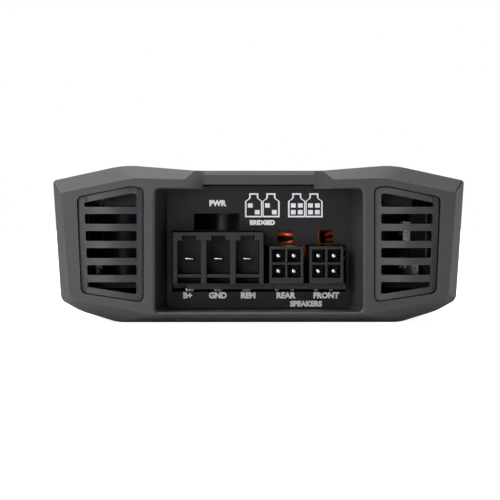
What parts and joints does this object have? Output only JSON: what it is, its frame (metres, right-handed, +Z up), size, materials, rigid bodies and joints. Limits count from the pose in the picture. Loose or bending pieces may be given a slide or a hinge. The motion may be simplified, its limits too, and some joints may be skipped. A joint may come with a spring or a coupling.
{
  "type": "car amplifier",
  "caption": "Compact four-channel car amplifier: finned housing, bevelled end frames with vents, a recessed connector panel and an input panel with RCA jacks and controls.",
  "frame": {"origin": "middle of the underside", "axes": "+Y along the length towards the input end, +Z up, -Y is the power and speaker end"},
  "size_m": [0.1104, 0.19, 0.0421],
  "materials": {
    "cast_housing": "satin dark grey powder coat",
    "heatsink": "satin dark grey powder coat",
    "base_steel": "black matt paint",
    "zinc_screw": "zinc plated",
    "panel_black": "fine matt texture",
    "circuit_board": "green solder mask",
    "connector_black": "moulded satin",
    "tinned_pin": "tin plated",
    "ferrite": "matt ceramic",
    "copper_wire": "enamelled copper",
    "capacitor_sleeve": "shrink sleeve",
    "film_capacitor": "dipped",
    "chip_epoxy": "moulded epoxy",
    "thermal_pad": "grey silicone",
    "clamp_steel": "bright",
    "nickel": "nickel plated",
    "adjuster_plastic": "off-white moulded",
    "slider_plastic": "moulded",
    "lamp_lens": "clear tinted"
  },
  "bodies": {
    "housing": {"base_plate": "base_steel", "base_screws": "zinc_screw", "board_screws": "zinc_screw", "clamp_screws": "zinc_screw", "control_board": "circuit_board", "controller_chips": "chip_epoxy", "film_capacitors": "film_capacitor", "front_speaker_header": "connector_black", "front_speaker_pins": "tinned_pin", "heatsink_shell": "heatsink", "input_choke_core": "ferrite", "input_choke_winding": "copper_wire", "input_end_frame": "cast_housing", "input_end_panel": "panel_black", "input_left_grille": "cast_housing", "input_right_grille": "cast_housing", "main_board": "circuit_board", "mounting_nuts": "zinc_screw", "output_inductor_cores": "ferrite", "output_inductor_windings": "copper_wire", "output_transistors": "chip_epoxy", "pot_bodies": "connector_black", "power_end_frame": "cast_housing", "power_end_panel": "panel_black", "power_header": "connector_black", "power_header_blades": "tinned_pin", "power_left_grille": "cast_housing", "power_right_grille": "cast_housing", "rail_capacitors": "capacitor_sleeve", "rca_block": "connector_black", "rca_contacts": "nickel", "rca_shields": "nickel", "rear_speaker_header": "connector_black", "rear_speaker_pins": "tinned_pin", "status_lamp": "lamp_lens", "supply_capacitors": "capacitor_sleeve", "supply_transistors": "chip_epoxy", "switch_bodies": "connector_black", "transformer_core": "ferrite", "transformer_winding": "copper_wire", "transistor_clamps": "clamp_steel", "transistor_leads": "tinned_pin", "transistor_pads": "thermal_pad"},
    "front_gain_adjuster": {"front_gain_adjuster": "adjuster_plastic"},
    "rear_gain_adjuster": {"rear_gain_adjuster": "adjuster_plastic"},
    "front_crossover_adjuster": {"front_crossover_adjuster": "adjuster_plastic"},
    "rear_crossover_adjuster": {"rear_crossover_adjuster": "adjuster_plastic"},
    "front_filter_slider": {"front_filter_slider": "slider_plastic"},
    "rear_filter_slider": {"rear_filter_slider": "slider_plastic"},
    "input_mode_slider": {"input_mode_slider": "slider_plastic"}
  },
  "joints": [
    {"name": "front_gain_turn", "type": "hinge", "parent": "housing", "child": "front_gain_adjuster", "pos_m": [-0.007, 0.079, 0.0282], "axis": [0, 1, 0], "range_deg": [-140, 140]},
    {"name": "rear_gain_turn", "type": "hinge", "parent": "housing", "child": "rear_gain_adjuster", "pos_m": [-0.018, 0.079, 0.0282], "axis": [0, 1, 0], "range_deg": [-140, 140]},
    {"name": "front_crossover_turn", "type": "hinge", "parent": "housing", "child": "front_crossover_adjuster", "pos_m": [-0.007, 0.079, 0.0193], "axis": [0, 1, 0], "range_deg": [-140, 140]},
    {"name": "rear_crossover_turn", "type": "hinge", "parent": "housing", "child": "rear_crossover_adjuster", "pos_m": [-0.018, 0.079, 0.0193], "axis": [0, 1, 0], "range_deg": [-140, 140]},
    {"name": "front_filter_slide", "type": "slide", "parent": "housing", "child": "front_filter_slider", "axis": [1, 0, 0], "range_m": [-0.0015, 0.0015]},
    {"name": "rear_filter_slide", "type": "slide", "parent": "housing", "child": "rear_filter_slider", "axis": [1, 0, 0], "range_m": [-0.0015, 0.0015]},
    {"name": "input_mode_slide", "type": "slide", "parent": "housing", "child": "input_mode_slider", "axis": [1, 0, 0], "range_m": [-0.0015, 0.0015]}
  ]
}
